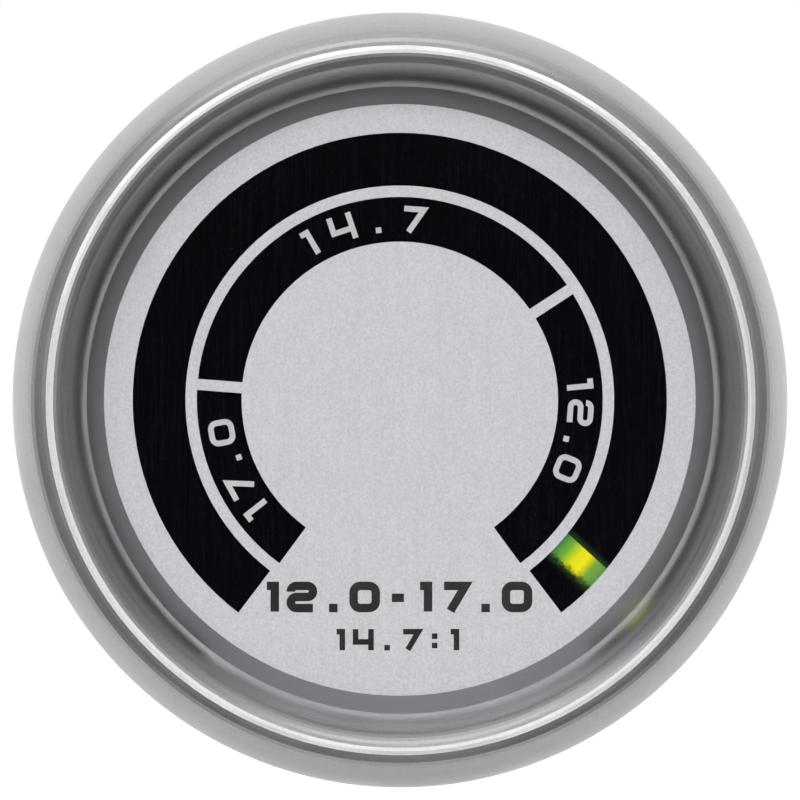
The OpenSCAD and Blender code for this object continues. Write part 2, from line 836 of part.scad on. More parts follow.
module clamp_bracket() {
    outer_bend = bend_r + bracket_t;
    color("#8f9398") difference() {
        linear_extrude(height = bracket_w, center = true) polygon(concat(
            [[leg_out_x, panel_t]],
            oval(leg_out_x - outer_bend, bracket_back_y - outer_bend, outer_bend, outer_bend,
                0, 90, bend_steps),
            oval(outer_bend - leg_out_x, bracket_back_y - outer_bend, outer_bend, outer_bend,
                90, 180, bend_steps),
            [[-leg_out_x, panel_t], [-leg_in_x, panel_t]],
            oval(bend_r - leg_in_x, bracket_front_y - bend_r, bend_r, bend_r,
                180, 90, bend_steps),
            oval(leg_in_x - bend_r, bracket_front_y - bend_r, bend_r, bend_r,
                90, 0, bend_steps),
            [[leg_in_x, panel_t]]
        ));
        at_places(stud_places)
            rod(stud_r + bracket_hole_fit, bracket_front_y - overrun, bracket_back_y + overrun);
    }
}

module lock_washers() {
    color("#9aa0a6") at_places(stud_places) difference() {
        ring(lock_washer_r, stud_r + washer_fit, bracket_back_y, thumb_nut_front_y);
        slab(bracket_back_y - overrun, thumb_nut_front_y + overrun)
            translate([-lock_washer_slit / 2, 0]) square([lock_washer_slit, washer_r]);
    }
}

// A knurled nut with a plain seat towards the bracket
module thumb_nut() {
    knurls = [for (i = [0:2 * knurl_count - 1])
        (thumb_nut_r - (i % 2) * knurl_depth) * [cos(180 * i / knurl_count), sin(180 * i / knurl_count)]];
    difference() {
        intersection() {
            on_rear_face(thumb_nut_front_y) linear_extrude(height = thumb_nut_l) polygon(knurls);
            on_rear_face(thumb_nut_front_y) rotate_extrude($fn = facets) polygon([
                [0, 0], [thumb_nut_seat_r, 0], [thumb_nut_seat_r, thumb_nut_seat_l],
                [thumb_nut_r - thumb_nut_chamfer, thumb_nut_seat_l],
                [thumb_nut_r, thumb_nut_seat_l + thumb_nut_chamfer],
                [thumb_nut_r, thumb_nut_l - thumb_nut_chamfer],
                [thumb_nut_r - thumb_nut_chamfer, thumb_nut_l], [0, thumb_nut_l]
            ]);
        }
        rod(stud_r + stud_fit, thumb_nut_front_y - overrun, thumb_nut_front_y + thumb_nut_l + overrun);
    }
}

module left_thumb_nut() {
    color("#c0c4c8") at_places([stud_places[0]]) thumb_nut();
}

module right_thumb_nut() {
    color("#c0c4c8") at_places([stud_places[1]]) thumb_nut();
}

bezel();
lens_gasket();
lens();
trim_ring();
dial_plate();
smoked_filter();
led_baffle();
dial_diffuser();
lean_leds();
stoich_leds();
rich_leds();
lit_led();
backlight_leds();
display_board();
driver_chips();
display_board_screws();
board_spacers();
header_strips();
header_pins();
power_board();
op_amp();
voltage_regulator();
capacitors();
resistors();
power_board_screws();
stud_pillars();
pillar_screws();
case();
socket_seal();
rear_socket();
contact_pins();
mounting_studs();
jam_washers();
jam_nuts();
clamp_bracket();
lock_washers();
left_thumb_nut();
right_thumb_nut();
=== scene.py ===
import math

import bmesh
import bpy
from bpy.props import FloatProperty, FloatVectorProperty, PointerProperty
from mathutils import Matrix, Vector


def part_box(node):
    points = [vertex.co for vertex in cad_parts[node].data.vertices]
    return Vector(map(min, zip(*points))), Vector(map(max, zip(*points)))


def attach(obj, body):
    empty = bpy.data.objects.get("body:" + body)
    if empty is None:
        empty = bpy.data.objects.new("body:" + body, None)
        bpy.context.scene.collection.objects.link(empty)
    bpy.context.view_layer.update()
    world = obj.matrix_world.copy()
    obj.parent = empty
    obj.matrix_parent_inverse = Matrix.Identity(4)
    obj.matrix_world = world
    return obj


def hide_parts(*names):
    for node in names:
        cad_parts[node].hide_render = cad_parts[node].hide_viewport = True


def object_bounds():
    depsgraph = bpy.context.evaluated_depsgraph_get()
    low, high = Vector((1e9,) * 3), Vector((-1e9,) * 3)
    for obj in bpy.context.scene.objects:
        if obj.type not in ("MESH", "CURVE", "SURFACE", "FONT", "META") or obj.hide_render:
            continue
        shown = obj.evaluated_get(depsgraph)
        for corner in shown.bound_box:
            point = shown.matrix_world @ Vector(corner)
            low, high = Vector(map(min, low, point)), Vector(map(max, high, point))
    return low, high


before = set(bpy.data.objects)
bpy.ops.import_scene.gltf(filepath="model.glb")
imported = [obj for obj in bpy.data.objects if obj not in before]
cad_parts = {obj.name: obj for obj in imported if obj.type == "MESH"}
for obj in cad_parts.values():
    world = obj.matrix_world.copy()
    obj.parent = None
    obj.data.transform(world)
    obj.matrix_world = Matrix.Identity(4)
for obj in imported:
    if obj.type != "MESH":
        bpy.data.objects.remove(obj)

bl_info = {
    "name": "Air fuel ratio gauge",
    "version": (1, 0, 0),
    "blender": (4, 5, 0),
    "location": "3D View > Sidebar > Gauge",
    "description": "Finishes, numbers, threads and studio of a light-arc panel gauge",
    "category": "Object",
}

CAD_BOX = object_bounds()
MM = 0.001

DIAL_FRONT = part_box("dial_plate")[0].y
FILTER_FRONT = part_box("smoked_filter")[0].y
STUD_FRONT, STUD_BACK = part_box("mounting_studs")[0].y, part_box("mounting_studs")[1].y
STUD_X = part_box("left_thumb_nut")[0].x / 2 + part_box("left_thumb_nut")[1].x / 2
STUD_RADIUS = (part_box("mounting_studs")[1].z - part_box("mounting_studs")[0].z) / 2

# Points closer than this, in metres, become one. The turns of a thread meet less exactly.
SAME_POINT, SAME_TURN = 1e-7, 1e-6

BLACK, WHITE = (0.0, 0.0, 0.0, 1.0), (1.0, 1.0, 1.0, 1.0)


# ---- sizes and colours -------------------------------------------------------------------------

def length(name, description, default):
    return FloatProperty(
        name=name, description=description, default=default, unit="LENGTH", precision=5)


def angle(name, description, degrees):
    return FloatProperty(
        name=name, description=description, default=math.radians(degrees), subtype="ANGLE")


def colour(name, description, red, green, blue):
    return FloatVectorProperty(
        name=name, description=description, default=(red, green, blue), subtype="COLOR",
        min=0, max=1)


class GaugeSizes(bpy.types.PropertyGroup):
    """Sizes of what is printed, cut and lit on the gauge, and of its studio"""
    band_number_height: length("Band numbers", "Height of the numbers on the bands", 1.95 * MM)
    band_number_radius: length("Band radius", "Middle radius of the band numbers", 13.56 * MM)
    band_stroke: length("Band stroke", "Stroke width of the numbers on the bands", 0.42 * MM)

    wide_line_height: length("Range line", "Height of the range line", 2.3 * MM)
    wide_line_width: length("Range line width", "Width of the range line", 20.2 * MM)
    wide_line_stroke: length("Range line stroke", "Stroke width of the range line", 0.64 * MM)
    wide_line_left: length("Range line left", "Shift left of the dial's middle", 0.18 * MM)
    wide_line_drop: length("Range line drop", "Distance below the dial's middle", 14.75 * MM)

    small_line_height: length("Small line", "Height of the small line", 1.62 * MM)
    small_line_width: length("Small line width", "Width of the small line", 9.4 * MM)
    small_line_stroke: length("Small line stroke", "Stroke width of the small line", 0.42 * MM)
    small_line_left: length("Small line left", "Shift left of the dial's middle", 0.25 * MM)
    small_line_drop: length("Small line drop", "Distance below the dial's middle", 17.95 * MM)

    print_thickness: length("Print", "Thickness of the printed numbers", 0.02 * MM)
    thread_pitch: length("Thread pitch", "Pitch of the threads on the studs", 0.79375 * MM)
    thread_depth: length("Thread depth", "Depth of the threads on the studs", 0.42 * MM)

    lamp_angle: angle("Lit lamp", "Angle of the lit lamp, clockwise from the top", 132.25)
    lamp_radius: length("Lit lamp radius", "Middle radius of the light arc", 18.03 * MM)
    lamp_width: length("Lit lamp width", "Width of the lit cell along the arc", 2.14 * MM)
    lamp_depth: length("Lit lamp depth", "Depth of the lit cell across the arc", 4.0 * MM)
    lamp_ragged: length("Ragged edge", "How far the lit cell's last edge wanders", 0.9 * MM)

    camera_distance: length("Camera distance", "Distance from the panel face", 0.5)
    camera_lens: FloatProperty(
        name="Lens", description="Focal length of the camera", default=301.5, unit="CAMERA")
    camera_left: angle("Camera left", "Angle of the camera to the left of the axis", 0.4)
    camera_above: angle("Camera above", "Angle of the camera above the axis", 0.2)

    floor_drop: length("Floor", "Distance of the floor below the gauge", 0.03)
    floor_radius: length("Floor radius", "Radius of the round floor", 0.42)
    floor_front: length("Floor front", "Reach of the floor before the panel face", 0.021)


class GaugeColours(bpy.types.PropertyGroup):
    """Base colours of the finishes"""
    bezel: colour("Bezel", "Satin silver of the bezel", 0.50, 0.50, 0.515)
    trim: colour("Trim ring", "Satin silver of the trim ring", 0.45, 0.45, 0.465)
    dial: colour("Dial", "Brushed silver of the dial", 0.555, 0.555, 0.58)
    smoke: colour("Smoked plastic", "Dark filter behind the windows", 0.0016, 0.0011, 0.0034)
    pale: colour("Pale print", "Numbers on the sector bands", 0.62, 0.62, 0.64)
    ink: colour("Ink", "Dark print on the dial", 0.012, 0.012, 0.014)
    rubber: colour("Rubber", "Black rubber of the gasket and the seal", 0.012, 0.012, 0.012)
    case: colour("Case", "Black paint of the case", 0.012, 0.012, 0.013)
    socket: colour("Socket", "Black nylon of the rear socket", 0.010, 0.010, 0.011)
    zinc: colour("Zinc", "Zinc plating of the bracket", 0.46, 0.48, 0.50)
    nickel: colour("Nickel", "Nickel plating of the nuts", 0.60, 0.59, 0.56)
    background: colour("Background", "White of the floor", 1.0, 1.0, 1.0)


# Numbers on the sector bands: piece, text, its middle in degrees clockwise from the top, its width
BAND_NUMBERS = (
    ("numbers_left_band", "17.0", -113.2, 8.0 * MM),
    ("numbers_top_band", "14.7", -12.0, 9.6 * MM),
    ("numbers_right_band", "12.0", 99.5, 8.0 * MM),
)

# Painted glow of the lit cell on the smoked filter, from its inner edge at 0 to its outer edge at
# 1, and of the halo round it
PAINTED_GLOW_BANDS = (
    (0.0, (0.035, 0.17, 0.05)),
    (0.22, (0.18, 0.42, 0.03)),
    (0.42, (0.80, 0.76, 0.0)),
    (0.60, (0.92, 0.80, 0.0)),
    (0.76, (0.20, 0.38, 0.04)),
    (1.0, (0.11, 0.25, 0.06)),
)
# Colour of the painted halo round the lit cell
PAINTED_HALO = (0.25, 0.8, 0.2, 1.0)

# The room, by direction. Each row holds two values of the share of a direction that points to the
# viewer, or upwards for the ceiling, and how bright the room is at each. The dark round the camera
# is a share of the grey.
WHITE_BEHIND = (-0.30, 0.36, 1.0, 0.0)
GREY_SIDES = (0.0, 0.60, 0.12, 0.36)
DARK_ROUND_CAMERA = (0.86, 0.975, 1.0, 0.05)
CEILING = (0.50, 0.90, 0.0, 0.62)
# The gain that the whole room is times: for a level direction, for each share of it to the right,
# and for each share of it upwards, which differs behind the gauge and on the viewer's side
LEVEL_GAIN = 0.88
RIGHTWARD_GAIN = -0.08
UPWARD_GAIN = (-0.25, 0.10, 0.14, 0.46)

# Lamps: name, degrees to the left and above the axis, distance, width, height, power in watts
LAMPS = (
    ("key", 12, 52, 0.9, 0.90, 0.30, 0.80),
    ("front_above", 2, 14, 0.8, 0.46, 0.17, 1.04),
    ("front_below", 0, -12, 0.8, 0.40, 0.15, 0.60),
    ("front_left", 15, 0, 0.8, 0.16, 0.22, 0.25),
    ("front_right", -14, 0, 0.8, 0.16, 0.22, 0.23),
)
SENSOR_WIDTH = 36.0
CLIP_START, CLIP_END = 0.05, 20.0

# The floor: share of the background's white, share of that between specks, and size of the specks
FLOOR_WHITE, FLOOR_SPECK, FLOOR_SPECK_SCALE = 0.86, 0.98, 60.0
FLOOR_ROUGHNESS, FLOOR_SEGMENTS = 0.8, 96
# Shares of its radius between which it fades into the backdrop
FADE_START, FADE_END = 0.45, 0.93
# Light that it gives by itself, and the share of that which metal shows
FLOOR_LIFT, MIRRORED_LIFT = 0.38, 0.45


# ---- shader nodes ------------------------------------------------------------------------------

def put(tree, socket, value):
    """Gives a socket a number, a colour or the output of another node."""
    if isinstance(value, bpy.types.NodeSocket):
        tree.links.new(value, socket)
    else:
        socket.default_value = value


def add(tree, kind, *values, settings=None, **inputs):
    """Adds a node. values go into its first sockets in turn, and inputs into those they name."""
    node = tree.nodes.new(kind)
    for name, value in (settings or {}).items():
        setattr(node, name, value)
    for socket, value in zip(node.inputs, values):
        put(tree, socket, value)
    for name, value in inputs.items():
        put(tree, node.inputs[name.replace("_", " ")], value)
    return node


def maths(tree, operation, *values):
    return add(tree, "ShaderNodeMath", *values, settings={"operation": operation}).outputs[0]


def chain(tree, operation, first, *others):
    """The same operation over any number of values."""
    for value in others:
        first = maths(tree, operation, first, value)
    return first


def ramp(tree, value, low, high, to_low=0.0, to_high=1.0, smooth=True):
    """Takes a value from one range to another, held at the ends."""
    node = add(tree, "ShaderNodeMapRange", Value=value, From_Min=low, From_Max=high,
               To_Min=to_low, To_Max=to_high,
               settings={"interpolation_type": "SMOOTHSTEP" if smooth else "LINEAR"})
    return node.outputs["Result"]


def mix(tree, factor, low, high, blend="MIX"):
    """Mixes two colours. The node has sockets for other kinds too, told apart by identifier."""
    node = add(tree, "ShaderNodeMix", settings={"data_type": "RGBA", "blend_type": blend})
    sockets = {socket.identifier: socket for socket in (*node.inputs, *node.outputs)}
    for identifier, value in (("Factor_Float", factor), ("A_Color", low), ("B_Color", high)):
        put(tree, sockets[identifier], value)
    return sockets["Result_Color"]


def noise(tree, scale, detail, roughness, stretch=(1, 1, 1)):
    """Noise in the object's own space. A stretch below 1 draws it out along that axis."""
    spot = tree.nodes.new("ShaderNodeTexCoord").outputs["Object"]
    stretched = add(tree, "ShaderNodeMapping", Vector=spot, Scale=stretch).outputs["Vector"]
    return add(tree, "ShaderNodeTexNoise", Vector=stretched, Scale=scale, Detail=detail,
               Roughness=roughness).outputs["Fac"]


def weighed(tree, *terms):
    """Adds values, each times its weight."""
    return chain(tree, "ADD", *(maths(tree, "MULTIPLY", value, weight) for value, weight in terms))


def group(name, inputs, outputs, build):
    """Makes a shader node group once, with named inputs and outputs."""
    tree = bpy.data.node_groups.get(name)
    if tree is None:
        tree = bpy.data.node_groups.new(name, "ShaderNodeTree")
        for label, default in inputs:
            socket = tree.interface.new_socket(
                label, in_out="INPUT", socket_type="NodeSocketFloat")
            socket.default_value = default
        for label in outputs:
            tree.interface.new_socket(label, in_out="OUTPUT", socket_type="NodeSocketFloat")
        given, made = tree.nodes.new("NodeGroupInput"), tree.nodes.new("NodeGroupOutput")
        for label, value in zip(outputs, build(tree, given.outputs)):
            put(tree, made.inputs[label], value)
    return tree


def place(tree, group_tree, **inputs):
    """Adds a node group, and gives its outputs."""
    return add(tree, "ShaderNodeGroup", settings={"node_tree": group_tree}, **inputs).outputs


def grain_group():
    """Fine even grain, as on blasted metal, paint and moulded plastic, with soft handling marks."""
    mark_scale, mark_weight = 0.035, 0.3
    mark_low, mark_high = 0.35, 0.65

    def build(tree, given):
        fine = noise(tree, given["Scale"], detail=3.0, roughness=0.6)
        coarse = maths(tree, "MULTIPLY", given["Scale"], mark_scale)
        marks = noise(tree, coarse, detail=4.0, roughness=0.55)
        shade = weighed(tree, (fine, 1 - mark_weight), (marks, mark_weight))
        return shade, ramp(tree, marks, mark_low, mark_high), fine
    return group("Even grain", [("Scale", 3000.0)], ["Shade", "Marks", "Height"], build)


def brushed_group():
    """Short scratches that run up and down, mottled by a finer grain and by faint clouds."""
    drawn_out, cloud_scale, cloud_weight = (1, 1, 0.045), 420.0, 0.08

    def build(tree, given):
        streaks = noise(tree, given["Scale"], detail=4.0, roughness=0.65, stretch=drawn_out)
        speckle = noise(tree, given["Scale"], detail=2.0, roughness=0.7)
        cloud = noise(tree, cloud_scale, detail=3.0, roughness=0.5)
        part = given["Speckle"]
        rest = maths(tree, "SUBTRACT", 1 - cloud_weight, part)
        shade = weighed(tree, (streaks, rest), (speckle, part), (cloud, cloud_weight))
        return shade, streaks
    return group("Brushed", [("Scale", 6500.0), ("Speckle", 0.4)], ["Shade", "Height"], build)


def new_material(name):
    """A material with a Principled surface: itself, its tree, the surface and the output."""
    material = bpy.data.materials.new(name)
    material.use_nodes = True
    tree = material.node_tree
    tree.nodes.clear()
    surface = tree.nodes.new("ShaderNodeBsdfPrincipled")
    out = add(tree, "ShaderNodeOutputMaterial", Surface=surface.outputs["BSDF"])
    return material, tree, surface, out


def rgb(value, factor=1.0):
    return (value[0] * factor, value[1] * factor, value[2] * factor, 1.0)


def finish(name, base, metallic=0.0, roughness=0.5, scale=3000.0, shade=0.06, rough=0.05,
           bump=0.002 * MM, brushed=False, speckle=0.4, coat=0.0):
    """A surface with grain. Its colour varies by shade and its roughness by rough, both ways."""
    noise_low, noise_high, coat_roughness = 0.36, 0.64, 0.12
    material, tree, surface, _ = new_material(name)
    if brushed:
        grain = place(tree, brushed_group(), Scale=scale, Speckle=speckle)
        mask = grain["Shade"]
    else:
        grain = place(tree, grain_group(), Scale=scale)
        mask = grain["Marks"]
    shades = ramp(tree, grain["Shade"], noise_low, noise_high, smooth=False)
    put(tree, surface.inputs["Base Color"],
        mix(tree, shades, rgb(base, 1 - shade), rgb(base, 1 + shade)))
    put(tree, surface.inputs["Roughness"],
        ramp(tree, mask, 0.0, 1.0, roughness - rough, roughness + rough))
    relief = add(tree, "ShaderNodeBump", Strength=1.0, Distance=bump, Height=grain["Height"])
    put(tree, surface.inputs["Normal"], relief.outputs["Normal"])
    surface.inputs["Metallic"].default_value = metallic
    surface.inputs["Coat Weight"].default_value = coat
    surface.inputs["Coat Roughness"].default_value = coat_roughness
    return material


def dress(material, *nodes):
    """Gives CAD nodes a finish."""
    for name in nodes:
        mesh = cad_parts[name].data
        mesh.materials.clear()
        mesh.materials.append(material)


def piece(name, bm, material, body, slot, *stands_for):
    """Makes a piece of a bmesh and hangs it from its body's empty. slot is not used."""
    bmesh.ops.remove_doubles(bm, verts=bm.verts, dist=SAME_POINT)
    bmesh.ops.recalc_face_normals(bm, faces=bm.faces)
    mesh = bpy.data.meshes.new(name)
    bm.to_mesh(mesh)
    bm.free()
    if not mesh.polygons:
        raise RuntimeError(f"{name} has no faces")
    mesh.materials.append(material)
    made = bpy.data.objects.new(name, mesh)
    bpy.context.scene.collection.objects.link(made)
    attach(made, body)
    if stands_for:
        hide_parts(*stands_for)
    return made


# ---- printed numbers ---------------------------------------------------------------------------

# Centre lines of the characters, in a box of width and height 1. An end that has to reach the edge
# of the line of print goes past the box, by about half a stroke.
STROKES = {
    "0": (((0, 0), (0, 1), (1, 1), (1, 0), (0, 0)),),
    "1": (((0, 1), (1, 1), (1, -0.16)),),
    "2": (((0, 0.74), (0, 1), (1, 1), (1, 0.5), (0, 0.5), (0, 0), (1, 0)),),
    "4": (((0, 1.16), (0, 0.36), (0.86, 0.36)), ((1, 1.16), (1, -0.16))),
    "7": (((0, 1), (1, 1), (0.3, -0.13)),),
    "-": (((0, 0.46), (1, 0.46)),),
    ".": (((0, 0), (1, 0)),),
    ":": (((0, 0.14), (1, 0.14)), ((0, 0.72), (1, 0.72))),
}
# Widths of the boxes for a height of 1. Dots and colons are as wide as a stroke.
WIDTHS = {"0": 1.0, "1": 0.36, "2": 1.0, "4": 0.96, "7": 0.96, "-": 0.55}
ROUNDED = "02"
CORNER_SHARE, CORNER_SEGMENTS = 0.3, 5


def trace(character, width, height, depth):
    """Low walls along a character's centre lines, from its middle."""
    bm = bmesh.new()
    for path in STROKES[character]:
        points = [bm.verts.new(((x - 0.5) * width, (y - 0.5) * height, 0)) for x, y in path]
        for pair in zip(points, points[1:]):
            bm.edges.new(pair)
    raised = bmesh.ops.extrude_edge_only(bm, edges=bm.edges[:])["geom"]
    top = [found for found in raised if isinstance(found, bmesh.types.BMVert)]
    bmesh.ops.translate(bm, verts=top, vec=(0, 0, depth))
    bmesh.ops.remove_doubles(bm, verts=bm.verts, dist=SAME_POINT)
    if character in ROUNDED:
        bends = [edge for edge in bm.edges if len(edge.link_faces) == 2]
        bmesh.ops.bevel(bm, geom=bends, offset=CORNER_SHARE * height, offset_type="OFFSET",
                        affect="EDGES", segments=CORNER_SEGMENTS, profile=0.5, material=-1,
                        clamp_overlap=True)
    return bm


def set_line(text, height, width, stroke, depth):
    """Characters of a line and the middle of each, spaced to fill a width."""
    box = height - stroke
    widths = [WIDTHS[c] * box if c in WIDTHS else stroke for c in text]
    gap = (width - stroke - sum(widths)) / (len(text) - 1)
    if gap < stroke:
        raise RuntimeError(f"{text} is too wide for its line")
    row, run = [], (stroke - width) / 2
    for character, wide in zip(text, widths):
        row.append((trace(character, wide, box, depth), run + wide / 2))
        run += wide + gap
    return row


def on_arc(radius, degrees):
    """Places along an arc, whose middle lies some degrees clockwise from the top."""
    def at(middle):
        turn = math.radians(degrees) + middle / radius
        return (radius * math.sin(turn), radius * math.cos(turn)), turn
    return at


def on_line(x, z):
    """Places along a level line."""
    return lambda middle: ((x + middle, z), 0.0)


def print_line(name, row, at, front, stroke, material, slot):
    """Lays a line on a face. at gives a character's place there, and how far it is turned."""
    upright = Matrix.Rotation(math.pi / 2, 4, "X")
    part = bpy.data.meshes.new("line")
    joined = bmesh.new()
    for bm, middle in row:
        (x, z), turn = at(middle)
        spot = Matrix.Translation((x, front, z)) @ Matrix.Rotation(turn, 4, "Y") @ upright
        bmesh.ops.transform(bm, matrix=spot, verts=bm.verts)
        bm.to_mesh(part)
        bm.free()
        joined.from_mesh(part)
    bpy.data.meshes.remove(part)
    wall = piece(name, joined, material, "gauge", slot).modifiers.new("Stroke", "SOLIDIFY")
    wall.thickness, wall.offset, wall.use_even_offset = stroke, 0.0, True


# ---- operators ---------------------------------------------------------------------------------

class GAUGE_OT_metalwork(bpy.types.Operator):
    """Finish the satin bezel and the trim ring"""
    bl_idname = "gauge.metalwork"
    bl_label = "Bezel and trim ring"

    def execute(self, context):
        colours = context.scene.gauge_colours
        bezel = finish("bezel_satin_finish", colours.bezel, metallic=1.0, roughness=0.33,
                       scale=4600.0, shade=0.06, rough=0.03, bump=0.0014 * MM)
        trim = finish("trim_satin_finish", colours.trim, metallic=1.0, roughness=0.40,
                      scale=5200.0, shade=0.05, rough=0.04, bump=0.0012 * MM)
        dress(bezel, "bezel")
        dress(trim, "trim_ring")
        return {"FINISHED"}


class GAUGE_OT_glass(bpy.types.Operator):
    """Finish the glass and its rubber gasket"""
    bl_idname = "gauge.glass"
    bl_label = "Glass and gasket"

    def execute(self, context):
        dress(self.glass(smudge_roughness=0.012, ior=1.45, shadow_tint=0.97), "lens")
        rubber = finish("black_rubber_finish", context.scene.gauge_colours.rubber, roughness=0.72,
                        scale=2600.0, shade=0.2, rough=0.1, bump=0.006 * MM)
        dress(rubber, "lens_gasket", "socket_seal")
        return {"FINISHED"}

    def glass(self, smudge_roughness, ior, shadow_tint):
        """Clear glass with faint smudges, which lets the lamps' light through to the dial."""
        material, tree, surface, out = new_material("lens_glass_finish")
        smudge = place(tree, grain_group(), Scale=2400.0)["Marks"]
        put(tree, surface.inputs["Roughness"],
            ramp(tree, smudge, 0.0, 1.0, 0.0, smudge_roughness))
        surface.inputs["Base Color"].default_value = WHITE
        surface.inputs["Transmission Weight"].default_value = 1.0
        surface.inputs["IOR"].default_value = ior
        shadow = tree.nodes.new("ShaderNodeLightPath").outputs["Is Shadow Ray"]
        clear = add(tree, "ShaderNodeBsdfTransparent", Color=rgb(WHITE, shadow_tint))
        both = add(tree, "ShaderNodeMixShader", shadow, surface.outputs["BSDF"],
                   clear.outputs["BSDF"])
        put(tree, out.inputs["Surface"], both.outputs["Shader"])
        return material


class GAUGE_OT_dial(bpy.types.Operator):
    """Finish the brushed dial, and the smoked filter, on which the light of one lamp shining
    through is painted as a glow
    """
    bl_idname = "gauge.dial"
    bl_label = "Dial and filter"

    def execute(self, context):
        silver = finish("dial_silver_finish", context.scene.gauge_colours.dial, metallic=0.72,
                        roughness=0.48, scale=6200.0, shade=0.12, rough=0.05, bump=0.0010 * MM,
                        brushed=True, speckle=0.72)
        dress(silver, "dial_plate")
        dress(self.smoked(context), "smoked_filter")
        return {"FINISHED"}

    def smoked(self, context):
        """Dark plastic with faint scratches, and a painted glow in the one cell where a lamp behind
        shines through.
        """
        smoke = context.scene.gauge_colours.smoke
        streak_low, streak_high, darkest, lightest = 0.46, 0.66, 0.6, 2.6
        smoothest, roughest = 0.09, 0.13
        material, tree, surface, _ = new_material("smoked_plastic_finish")
        shade = place(tree, brushed_group(), Scale=5200.0, Speckle=0.25)["Shade"]
        streak = ramp(tree, shade, streak_low, streak_high, smooth=False)
        put(tree, surface.inputs["Base Color"],
            mix(tree, streak, rgb(smoke, darkest), rgb(smoke, lightest)))
        put(tree, surface.inputs["Roughness"], ramp(tree, shade, 0.0, 1.0, smoothest, roughest))
        surface.inputs["Specular IOR Level"].default_value = 0.1
        # the light of the lamp behind is painted on the filter as emission colour
        put(tree, surface.inputs["Emission Color"], self.painted_glow(tree, context.scene.gauge_sizes))
        surface.inputs["Emission Strength"].default_value = 1.0
        return material

    def painted_glow(self, tree, sizes):
        """Painted glow of the lit cell and its halo, as emission colour. along runs clockwise from
        its middle, across outwards.
        """
        spot = tree.nodes.new("ShaderNodeTexCoord").outputs["Object"]
        turned = add(tree, "ShaderNodeMapping", Vector=spot, Rotation=(0, -sizes.lamp_angle, 0))
        axes = add(tree, "ShaderNodeSeparateXYZ", Vector=turned.outputs["Vector"]).outputs
        along, across = axes["X"], maths(tree, "SUBTRACT", axes["Z"], sizes.lamp_radius)
        either_way, aside = maths(tree, "ABSOLUTE", along), maths(tree, "ABSOLUTE", across)
        half, reach = sizes.lamp_width / 2, sizes.lamp_depth / 2

        def edge(value, size, start, end, strength=1.0):
            """Fades out between two shares of a size."""
            return ramp(tree, value, start * size, end * size, strength, 0.0)

        # the first edge is sharp, and the last one wanders
        sharp_out, sharp_in = 0.02 * MM, 0.06 * MM
        wander = maths(tree, "SUBTRACT", noise(tree, 4200.0, detail=3.0, roughness=0.7), 0.5)
        ragged = maths(tree, "ADD", along, maths(tree, "MULTIPLY", wander, sizes.lamp_ragged))
        first = ramp(tree, along, -half - sharp_out, -half + sharp_in)
        last = edge(ragged, half, start=0.45, end=1.0)
        inside = edge(aside, reach, start=1.0, end=1.1)
        cell = chain(tree, "MULTIPLY", first, last, inside)
        outwards = maths(tree, "DIVIDE", across, sizes.lamp_depth)
        bands = add(tree, "ShaderNodeValToRGB", Fac=maths(tree, "ADD", outwards, 0.5))
        stops = bands.color_ramp.elements
        for at, _ in PAINTED_GLOW_BANDS[1:-1]:
            stops.new(at)
        for stop, (at, tint) in zip(stops, PAINTED_GLOW_BANDS):
            stop.position, stop.color = at, rgb(tint)
        lit = mix(tree, cell, BLACK, bands.outputs["Color"])

        # the painted halo is faint, and fainter still past the ragged edge
        faint, fainter = 0.05, 0.25
        middle = edge(either_way, half, start=1.0, end=1.55, strength=faint)
        spill = edge(ragged, half, start=0.8, end=1.6)
        side = edge(aside, reach, start=0.8, end=1.2)
        strength = chain(tree, "MULTIPLY", middle, maths(tree, "MAXIMUM", spill, fainter), side)
        halo = mix(tree, strength, BLACK, PAINTED_HALO)
        return mix(tree, 1.0, lit, halo, blend="ADD")


class GAUGE_OT_numbers(bpy.types.Operator):
    """Print plain numbers on the sector bands and under the dial's middle"""
    bl_idname = "gauge.numbers"
    bl_label = "Numbers"

    def execute(self, context):
        sizes, colours = context.scene.gauge_sizes, context.scene.gauge_colours
        pale = finish("band_number_finish", colours.pale, metallic=0.2, roughness=0.5,
                      scale=6500.0, shade=0.05, rough=0.04, bump=0.0008 * MM, brushed=True)
        ink = finish("ink_finish", colours.ink, roughness=0.74, scale=6000.0, shade=0.25,
                     rough=0.06, bump=0.0008 * MM)
        stroke, radius = sizes.band_stroke, sizes.band_number_radius
        for name, text, degrees, width in BAND_NUMBERS:
            row = set_line(text, sizes.band_number_height, width, stroke, sizes.print_thickness)
            print_line(name, row, on_arc(radius, degrees), FILTER_FRONT, stroke, pale,
                       "dial_silver")
        for name, text, height, width, stroke, left, drop in (
                ("numbers_wide_line", "12.0-17.0", sizes.wide_line_height, sizes.wide_line_width,
                 sizes.wide_line_stroke, sizes.wide_line_left, sizes.wide_line_drop),
                ("numbers_small_line", "14.7:1", sizes.small_line_height, sizes.small_line_width,
                 sizes.small_line_stroke, sizes.small_line_left, sizes.small_line_drop)):
            row = set_line(text, height, width, stroke, sizes.print_thickness)
            print_line(name, row, on_line(-left, -drop), DIAL_FRONT, stroke, ink,
                       "smoked_plastic")
        return {"FINISHED"}


